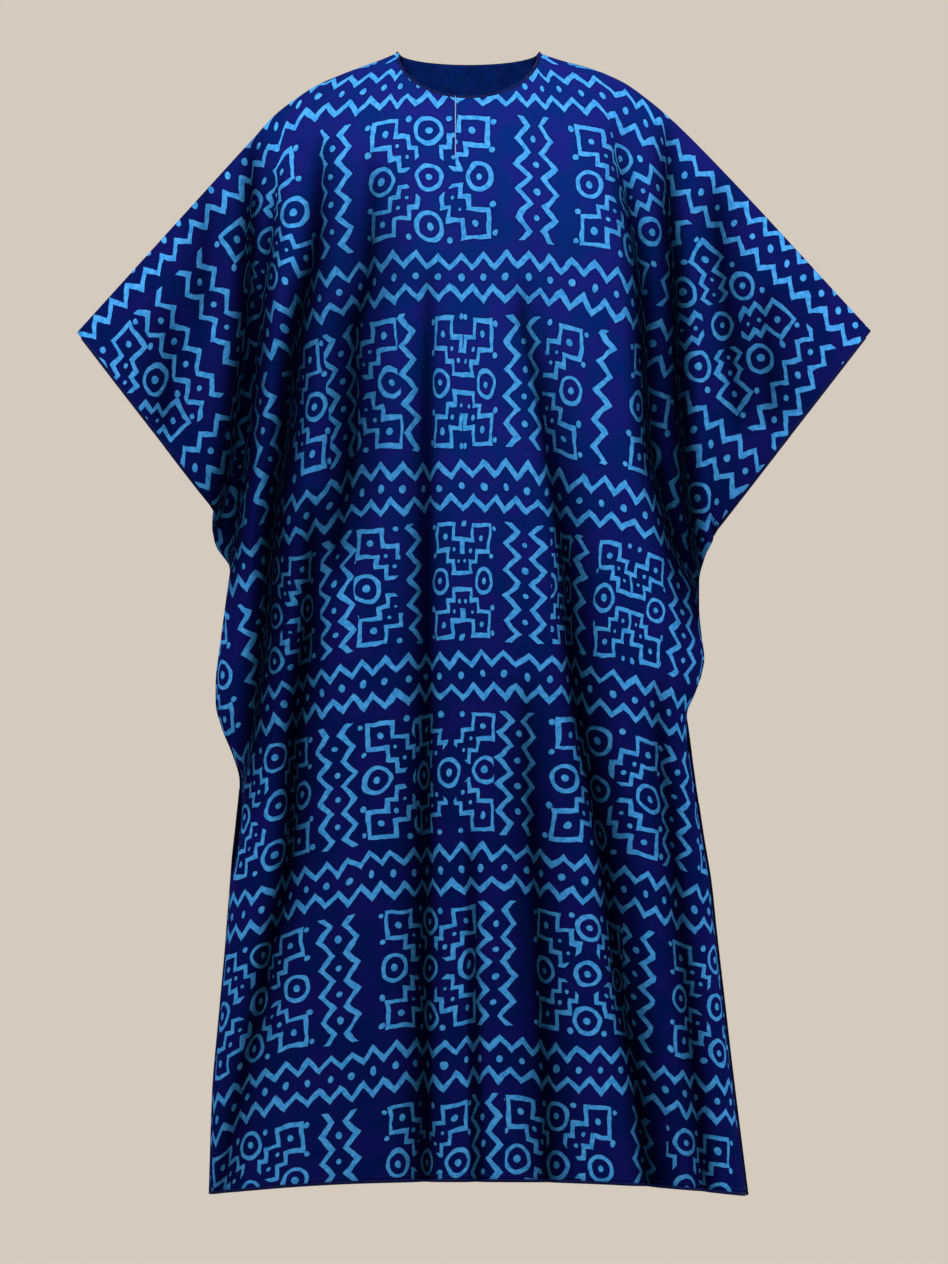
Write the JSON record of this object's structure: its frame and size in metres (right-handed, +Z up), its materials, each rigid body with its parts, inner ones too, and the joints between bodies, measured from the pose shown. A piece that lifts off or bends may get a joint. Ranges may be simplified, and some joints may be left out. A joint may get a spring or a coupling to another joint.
{
  "type": "kaftan",
  "caption": "Full-length kaftan worn open and hollow, wide sleeves cut in one with the body, round neck with a short closed slit, side slits, all-over geometric print.",
  "frame": {"origin": "middle of the shoulder line where the wearer's shoulders hold the garment, 30 mm under the two neck points, on the plane between front and back", "axes": "+X along the shoulders to the picture's right, +Y to the back, +Z up along the garment's length"},
  "size_m": [0.9922, 0.2975, 1.4276],
  "materials": {
    "printed_cloth": "soft satin-faced cotton, deep navy ground with an azure geometric print",
    "plain_facing": "plain deep blue cotton"
  },
  "bodies": {
    "root": {"front_panel": "printed_cloth", "back_panel": "printed_cloth", "back_neck_facing": "plain_facing"}
  },
  "joints": []
}
